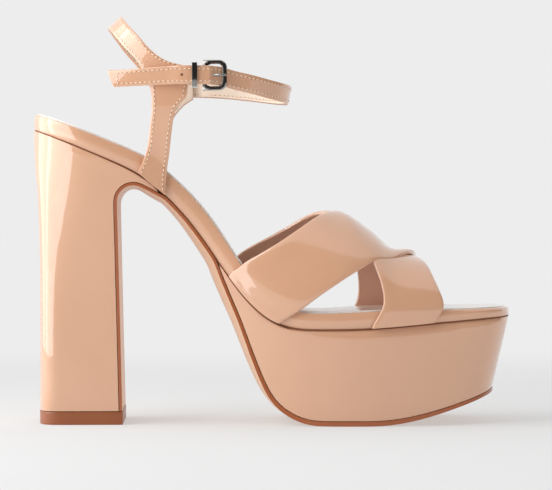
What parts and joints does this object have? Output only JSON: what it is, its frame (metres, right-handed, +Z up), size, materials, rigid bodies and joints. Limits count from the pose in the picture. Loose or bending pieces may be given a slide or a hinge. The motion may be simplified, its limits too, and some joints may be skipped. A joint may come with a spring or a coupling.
{
  "type": "platform shoe",
  "caption": "High platform sandal with a block heel, crossed toe straps, a quarter with a back strap and a buckled ankle strap; right foot.",
  "frame": {"origin": "centre of the heel tip's underside, on the floor", "axes": "+X from heel to toe, +Y to the inner side of the foot, +Z up"},
  "size_m": [0.2156, 0.0805, 0.1837],
  "materials": {
    "patent": "nude patent leather, glossy",
    "sock": "pale smooth lining leather, satin",
    "outsole": "tan moulded sole sheet, smooth",
    "heel_tip": "brown moulded top piece, smooth",
    "metal": "polished nickel plate"
  },
  "bodies": {
    "root": {"outsole": "outsole", "platform": "patent", "heel": "patent", "heel_tip": "heel_tip", "footbed": "patent", "sock": "sock", "vamp_straps": "patent", "quarter": "patent", "ankle_strap": "patent", "buckle_tab": "patent", "buckle": "metal", "prong": "metal", "keeper": "metal"}
  },
  "joints": []
}
